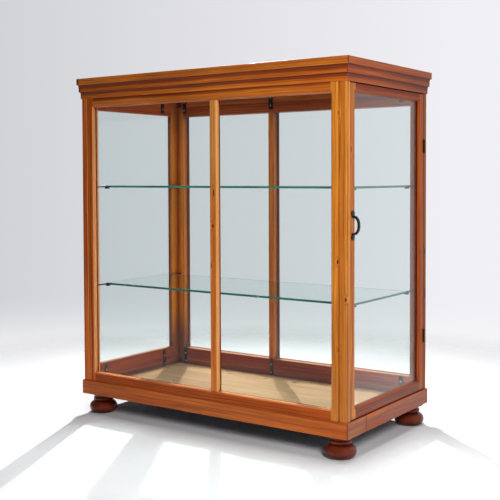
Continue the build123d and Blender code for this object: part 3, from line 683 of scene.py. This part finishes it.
# Painted highlight round the neck of each foot, where it catches the light.
NECK_HIGHLIGHT = (8.0, 200.0, "#A84C22")
for corner in ("front_left", "front_right", "rear_left", "rear_right"):
    node = "foot_" + corner
    low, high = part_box(node)
    lit_neck = [(((low.x + high.x) / 2, (low.y + high.y) / 2, high.z), *NECK_HIGHLIGHT)]
    wood("turned_pine_" + corner, node, "z", FOOT, spacing=3.0, gloss=0.24, bands=lit_neck)
BEECH = tuple(paint(c) for c in ("#DDB98C", "#CFA679", "#B98D60", "#8A6540"))
wood("beech_dowels", "foot_dowels", "z", BEECH, spacing=2.0, gloss=0.5)
print("feet and dowels dressed")

# %% [markdown]
# ## Float glass
#
# The panes are 3 mm float glass and the shelves 4 mm. Float glass is clear with
# a faint green-blue cast, and its ground edges are dark green, because light
# there has travelled far inside the sheet. Its index of refraction is 1.5. The
# mirror image is toned down a little, so that it doesn't veil what is inside.
#
# A glass shader bends the light at each face, but it also throws hard dark
# shadows, because lamps can't be followed back through it. So shadow rays get a
# plain transparent surface, which takes away only the few percent that glass
# does.


# %% The glass finish
GLASS_IOR = 1.5
MIRROR = paint("#959595")


def glass(name, tint, shade, edge=None):
    """Clear glass of a tint, with a shade for its shadow and perhaps green edges."""
    material, tree = blank(name)
    feeds = {"Base Color": tint, "Roughness": 0.0, "IOR": GLASS_IOR}
    feeds |= {"Transmission Weight": 1.0, "Specular Tint": MIRROR}
    clear = put(tree, "BsdfPrincipled", feeds).outputs["BSDF"]
    through = put(tree, "BsdfTransparent", {"Color": shade}).outputs["BSDF"]
    if edge is not None:
        upright = put(tree, "NewGeometry").outputs["True Normal"]
        flat = put(tree, "SeparateXYZ", {"Vector": upright}).outputs["Z"]
        level = put(tree, "Math", {0: flat}, operation="ABSOLUTE").outputs[0]
        is_edge = put(tree, "Math", {0: level, 1: 0.5}, operation="LESS_THAN").outputs[0]
        feeds = {"Base Color": edge, "Roughness": 0.12, "IOR": GLASS_IOR}
        feeds |= {"Transmission Weight": 0.6}
        rim = put(tree, "BsdfPrincipled", feeds).outputs["BSDF"]
        clear = put(tree, "MixShader", {0: is_edge, 1: clear, 2: rim}).outputs[0]
    lamp = put(tree, "LightPath").outputs["Is Shadow Ray"]
    surface = put(tree, "MixShader", {0: lamp, 1: clear, 2: through}).outputs[0]
    put(tree, "OutputMaterial", {"Surface": surface})
    return material


pane_glass = glass("float_glass_3mm", paint("#F1F6F5"), paint("#F8F9F9"))
dress(pane_glass, "pane_front_left", "pane_front_right", "pane_back_left")
dress(pane_glass, "pane_back_right", "pane_left", "door_pane")
shelf_glass = glass("float_glass_4mm", paint("#EAF5F1"), paint("#F2F8F5"), paint("#37836F"))
dress(shelf_glass, "shelf_lower", "shelf_upper")
print("glass dressed")

# %% [markdown]
# ## Metal fittings
#
# Five finishes cover the small metal parts, and one function makes them all.
# They wear to paler metal on their edges, in patches, and fine specks break up
# the shine: rolled and plated sheet is never quite even. Real specks are finer
# than they are drawn, which is about a millimetre, so that they show.

# %% The metal finish
METAL_ROUND = 0.4 * MM


def metal(name, base, wear_and_shade, metallic, gloss, speck):
    """A metal or enamel of a colour that wears to another on its edges."""
    material, tree = blank(name)
    where = put(tree, "TexCoord").outputs["Object"]
    size = {"Vector": where, "Scale": 1 / (speck * MM), "Detail": 3.0}
    mottle = put(tree, "TexNoise", size).outputs["Fac"]
    rounded = put(tree, "Bevel", {"Radius": METAL_ROUND}, samples=4).outputs["Normal"]
    flat = put(tree, "NewGeometry").outputs["Normal"]
    agree = put(tree, "VectorMath", {0: rounded, 1: flat}, operation="DOT_PRODUCT").outputs["Value"]
    wear_and_highlight = {"Value": agree, "From Min": 0.995, "From Max": 0.9, "To Max": 0.7}
    edge = put(tree, "MapRange", wear_and_highlight).outputs["Result"]
    patchy = put(tree, "Math", {0: edge, 1: mottle}, operation="MULTIPLY").outputs[0]
    colour = {"Factor": patchy, "A": base, "B": wear_and_shade}
    colour = put(tree, "Mix", colour, data_type="RGBA").outputs["Result"]
    tone = {"Value": mottle, "From Min": 0.3, "From Max": 0.7, "To Min": 0.8, "To Max": 1.15}
    shade = put(tree, "MapRange", tone).outputs["Result"]
    colour = put(tree, "VectorMath", {0: colour, "Scale": shade}, operation="SCALE").outputs[0]
    sheen = {"Value": mottle, "To Min": gloss, "To Max": gloss + 0.15}
    rough = put(tree, "MapRange", sheen).outputs["Result"]
    relief = {"Strength": 0.15, "Distance": 0.05 * MM, "Height": mottle, "Normal": rounded}
    bump = put(tree, "Bump", relief).outputs["Normal"]
    skin = {"Base Color": colour, "Metallic": metallic, "Roughness": rough, "Normal": bump}
    surface = put(tree, "BsdfPrincipled", skin).outputs["BSDF"]
    put(tree, "OutputMaterial", {"Surface": surface})
    return material


print("metal edges look", METAL_ROUND / MM, "mm round")

# %% [markdown]
# ## Which metal is where
#
# The joint plates and shelf pegs are steel blackened in hot oil: dark, with a
# soft brown glint. The plates' screws are plain steel gone dull, and stand out
# pale on them. The hinges are steel plated a dark bronze, with brassy edges.
# The pull handle is iron under stove enamel, so it isn't metallic to the eye:
# black, with small sharp lights. The hidden catch is bright zinc plate.

# %% Dress the metal
blackened_steel = metal("blackened_steel", paint("#3A332E"), paint("#8C8276"), 1.0, 0.4, 0.8)
dress(blackened_steel, "joint_plates", "shelf_pegs")
dull_steel = metal("dull_steel", paint("#A79E92"), paint("#C9C2B8"), 1.0, 0.4, 0.8)
dress(dull_steel, "joint_plate_screws")
bronzed_steel = metal("bronzed_steel", paint("#4A3826"), paint("#A07C4C"), 1.0, 0.35, 0.8)
dress(bronzed_steel, "hinge_fixed_leaves", "hinge_moving_leaves", "hinge_pins")
dress(bronzed_steel, "hinge_post_screws", "hinge_door_screws")
black_iron = metal("black_enamelled_iron", paint("#0E0E0F"), paint("#33302E"), 0.0, 0.2, 1.2)
dress(black_iron, "door_handle", "handle_screws")
bright_steel = metal("zinc_plated_steel", paint("#B9BCC0"), paint("#D8DADD"), 1.0, 0.25, 1.0)
dress(bright_steel, "catch_magnet", "catch_strike")
print("metals dressed")

# %% [markdown]
# ## What is seen and what only lights
#
# A pale floor and wall that gave back all their light would flood the case from
# below and behind. Light Path tells rays apart: those that end in the picture,
# straight, mirrored or bent by glass, and those that only carry light. The
# first can be shown a pale studio while the second meet a dimmer one.

# %% Rays that end in the picture
def seen_rays(tree):
    """One for rays that end in a picture: straight, mirrored or through glass."""
    rays = put(tree, "LightPath").outputs
    either = {0: rays["Is Camera Ray"], 1: rays["Is Glossy Ray"]}
    either = put(tree, "Math", either, operation="MAXIMUM").outputs[0]
    either = {0: either, 1: rays["Is Transmission Ray"]}
    return put(tree, "Math", either, operation="MAXIMUM").outputs[0]


print("seen rays: camera, glossy, transmission")

# %% [markdown]
# ## The studio floor
#
# The case stands on a pale matt floor, a flat disc with its middle under the
# case. It is marked as part of the stage, so it isn't counted as a piece.

# %% The floor
FLOOR_RADIUS = 3.0
FLOOR_SIDES = 64
steps = [side * 2 * math.pi / FLOOR_SIDES for side in range(FLOOR_SIDES)]
rim = [(FLOOR_RADIUS * math.cos(t), FLOOR_RADIUS * math.sin(t), 0) for t in steps]
floor_mesh = bpy.data.meshes.new("studio_floor")
floor_mesh.from_pydata(rim, [], [list(range(FLOOR_SIDES))])
studio_floor = bpy.data.objects.new("studio_floor", floor_mesh)
bpy.context.scene.collection.objects.link(studio_floor)
studio_floor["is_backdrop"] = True
print("floor of", FLOOR_RADIUS, "m radius")

# %% [markdown]
# ## The floor's paint
#
# The floor is flat white paint, nearly white to look at and greyer to the light
# that it gives back, or the underside of the case would glow. It keeps the
# shadows near the case, and between 0.45 m and 1.2 m out it fades and lets the
# backdrop show, so it has no visible edge.

# %% Paint the floor
FADE_START, FADE_END = 0.45, 1.2
FLOOR_SEEN = paint("#F4F4F6")
FLOOR_BOUNCE = paint("#BEBEC0")
floor_paint, tree = blank("pale_floor")
where = put(tree, "TexCoord").outputs["Object"]
reach = put(tree, "VectorMath", {0: where}, operation="LENGTH").outputs["Value"]
fade = {"Value": reach, "From Min": FADE_START, "From Max": FADE_END}
faded = put(tree, "MapRange", fade, interpolation_type="SMOOTHSTEP").outputs["Result"]
seen = {"Factor": seen_rays(tree), "A": FLOOR_BOUNCE, "B": FLOOR_SEEN}
seen = put(tree, "Mix", seen, data_type="RGBA").outputs["Result"]
matt = put(tree, "BsdfDiffuse", {"Color": seen, "Roughness": 0.0}).outputs["BSDF"]
gone = put(tree, "BsdfTransparent").outputs["BSDF"]
surface = put(tree, "MixShader", {0: faded, 1: matt, 2: gone}).outputs[0]
put(tree, "OutputMaterial", {"Surface": surface})
floor_mesh.materials.append(floor_paint)
print("floor fades from", FADE_START, "to", FADE_END, "m")

# %% [markdown]
# ## The backdrop
#
# Behind the case the world shows a pale grey wall that gets brighter to the
# right. Polished glass and varnish mirror something else, a darker room with
# one bright side, as a studio is behind the camera. Each is a ramp of three
# greys from left to right.

# %% The wall and the room
TO_THE_RIGHT = (0.819, 0.574, 0)
WALL = ((0.0, "#8E9094"), (0.35, "#CFD0D4"), (0.61, "#F1F0F5"))
ROOM = ((0.05, "#2C2D2F"), (0.4, "#8A8B8E"), (0.75, "#F4F3F6"))

world = bpy.data.worlds.new("studio")
bpy.context.scene.world = world
world.use_nodes = True
tree = world.node_tree
tree.nodes.clear()
ray = put(tree, "TexCoord").outputs["Generated"]
across = put(tree, "VectorMath", {0: ray, 1: TO_THE_RIGHT}, operation="DOT_PRODUCT")
across = {"Value": across.outputs["Value"], "From Min": -1.0}
across = put(tree, "MapRange", across).outputs["Result"]
greys = []
for first, middle, last in (WALL, ROOM):
    ramp = put(tree, "ValToRGB", {"Fac": across})
    stops = ramp.color_ramp.elements
    stops[0].position, stops[0].color = first[0], paint(first[1])
    stops[1].position, stops[1].color = last[0], paint(last[1])
    stops.new(middle[0]).color = paint(middle[1])
    greys.append(ramp.outputs["Color"])
print("wall from", WALL[0][1], "to", WALL[2][1])

# %% [markdown]
# ## Putting the world together
#
# Straight and bent rays see the wall, mirrored ones the room, and both turn
# white below the horizon to meet the floor. The light that the world gives is
# neither, but a weak, even, slightly blue fill.

# %% The world
BELOW = paint("#F8F8FA")
BELOW_START, BELOW_END = -0.12, -0.2
FILL = paint("#DCE6FA")
FILL_STRENGTH = 0.06
rays = put(tree, "LightPath").outputs
# A ray bent through glass counts as glossy too, and has to see the wall.
mirrored = {0: rays["Is Glossy Ray"], 1: rays["Is Transmission Ray"]}
mirrored = put(tree, "Math", mirrored, operation="GREATER_THAN").outputs[0]
around = {"Factor": mirrored, "A": greys[0], "B": greys[1]}
around = put(tree, "Mix", around, data_type="RGBA").outputs["Result"]
height = put(tree, "SeparateXYZ", {"Vector": ray}).outputs["Z"]
low = {"Value": height, "From Min": BELOW_START, "From Max": BELOW_END}
low = put(tree, "MapRange", low, interpolation_type="SMOOTHSTEP").outputs["Result"]
seen = {"Factor": low, "A": around, "B": BELOW}
seen = put(tree, "Mix", seen, data_type="RGBA").outputs["Result"]
picture = put(tree, "Background", {"Color": seen, "Strength": 1.0}).outputs[0]
fill = put(tree, "Background", {"Color": FILL, "Strength": FILL_STRENGTH}).outputs[0]
mixed = put(tree, "MixShader", {0: seen_rays(tree), 1: fill, 2: picture}).outputs[0]
put(tree, "OutputWorld", {"Surface": mixed})
print("world fill", FILL_STRENGTH)

# %% [markdown]
# ## Lamps
#
# A round softbox to the right of the camera, as high as the top of the case, is
# the key: it models the front and the side. A large one overhead lights the
# floor and the top evenly. A small spot lamp high behind on the left is
# nearly a point, so it throws the shadows of the bars as clear stripes across
# the board and the floor, and its light falls off all the way to the rim of its
# cone, so that the cone has no edge on the floor.
#
# Polished glass and varnish would mirror the softboxes as hard white blots, so
# both are hidden from mirrored rays, and the key from bent ones too, which can
# be mirrored on their way. Hidden from those, it sends less light in through
# the glass, so a twin in the same place makes that up, on the pieces inside
# only.

# %% Lamp helpers
def hang(data, place, target, watts):
    """Hangs a lamp, pointed at a target and hidden from the camera."""
    data.energy = watts
    lamp = bpy.data.objects.new(data.name, data)
    lamp.location = place
    lamp.rotation_euler = (Vector(target) - Vector(place)).to_track_quat("-Z", "Y").to_euler()
    lamp.visible_camera = False
    bpy.context.scene.collection.objects.link(lamp)
    return lamp


def softbox(name, size):
    """A round soft lamp of a size in metres."""
    data = bpy.data.lights.new(name, "AREA")
    data.shape = "DISK"
    data.size = size
    return data

print("a softbox is a round lamp")

# %% [markdown]
# ## Hanging the lamps
#
# Places are in metres from the middle of the case on the floor, so the key is
# about 1.3 m away, the overhead lamp above 2 m up, and the spot lamp about 2 m
# behind. The key is 0.4 m across, which gives shadows with soft but clear
# edges, and the spot lamp one centimetre.

# %% Lamps
SOFTBOX = 0.4
KEY_PLACE, KEY_TARGET = (0.95, -0.85, 0.67), (0.2, 0, 0.4)
KEY_WATTS, INSIDE_WATTS = 10.2, 9
OVERHEAD, OVERHEAD_PLACE, OVERHEAD_WATTS = 1.0, (0.3, 0.1, 2.4), 27
BEHIND_PLACE, BEHIND_TARGET = (-0.83, 1.03, 1.48), (0.05, -0.1, 0.1)
BEHIND_WATTS, BEHIND_CONE, BEHIND_RADIUS = 165, math.radians(76), 0.01

key = hang(softbox("key", SOFTBOX), KEY_PLACE, KEY_TARGET, KEY_WATTS)
overhead = hang(softbox("overhead", OVERHEAD), OVERHEAD_PLACE, (0, 0, 0), OVERHEAD_WATTS)
overhead.visible_glossy = False
spot = bpy.data.lights.new("behind", "SPOT")
spot.spot_size = BEHIND_CONE
spot.spot_blend = 1.0
spot.shadow_soft_size = BEHIND_RADIUS
hang(spot, BEHIND_PLACE, BEHIND_TARGET, BEHIND_WATTS)
key_inside = hang(softbox("key_inside", SOFTBOX), KEY_PLACE, KEY_TARGET, INSIDE_WATTS)
for lamp in (key, key_inside):
    lamp.visible_glossy = False
    lamp.visible_transmission = False
print("four lamps")

# %% [markdown]
# ## What the inner lamp reaches
#
# Light linking gives a lamp a collection of the pieces that it lights. Here
# they are the ones that stand behind the glass.

# %% Link the inner lamp
INSIDE = (
    "post_rear_left",
    "mullion_back",
    "rail_back_bottom",
    "rail_back_top",
    "rail_left_bottom",
    "rail_left_top",
    "glazing_beads_back",
    "glazing_beads_left",
    "floor_board",
    "shelf_lower",
    "shelf_upper",
    "shelf_pegs",
    "joint_plates",
    "joint_plate_screws",
)
inside = bpy.data.collections.new("inside")
for name in INSIDE:
    inside.objects.link(NODES[name])
key_inside.light_linking.receiver_collection = inside
print(len(INSIDE), "pieces inside")

# %% [markdown]
# ## Camera
#
# The camera looks at the front right corner from a little above the middle of
# the case, close enough for the far edges to draw together. Its place and lens
# come from the directions in which the straight edges of the case converge, and
# a small shift holds the uprights upright, as a view camera's rising front does.

# %% Camera
AZIMUTH, ELEVATION, ROLL = (math.radians(v) for v in (35.039, 2.006, -0.208))
CAMERA_PLACE = (1.039914, -1.483639, 0.471644)
IMAGE_SIZE = 500
FOCAL_PIXELS = 930.325
HORIZON_PIXEL = 209.412
SENSOR = 36.0
forward = Vector(
    (
        -math.sin(AZIMUTH) * math.cos(ELEVATION),
        math.cos(AZIMUTH) * math.cos(ELEVATION),
        -math.sin(ELEVATION),
    )
)
level = forward.cross(Vector((0, 0, 1))).normalized()
upward = level.cross(forward)
camera_x = math.cos(ROLL) * level + math.sin(ROLL) * upward
camera_y = -math.sin(ROLL) * level + math.cos(ROLL) * upward
turn = Matrix((camera_x, camera_y, -forward)).transposed()
camera_data = bpy.data.cameras.new("camera")
camera_data.sensor_width = SENSOR
camera_data.lens = FOCAL_PIXELS * SENSOR / IMAGE_SIZE
camera_data.shift_y = (HORIZON_PIXEL - IMAGE_SIZE / 2) / IMAGE_SIZE
camera = bpy.data.objects.new("camera", camera_data)
camera.matrix_world = Matrix.Translation(CAMERA_PLACE) @ turn.to_4x4()
bpy.context.scene.collection.objects.link(camera)
bpy.context.scene.camera = camera
bpy.context.scene.view_settings.view_transform = "Standard"
print("lens", round(camera_data.lens, 1), "mm")

# %% [markdown]
# ## The size of the case
#
# The dressed case should be as large as the built one; the box round every
# piece that is shown, the floor left out, is measured here.

# %% Size
low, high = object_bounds()
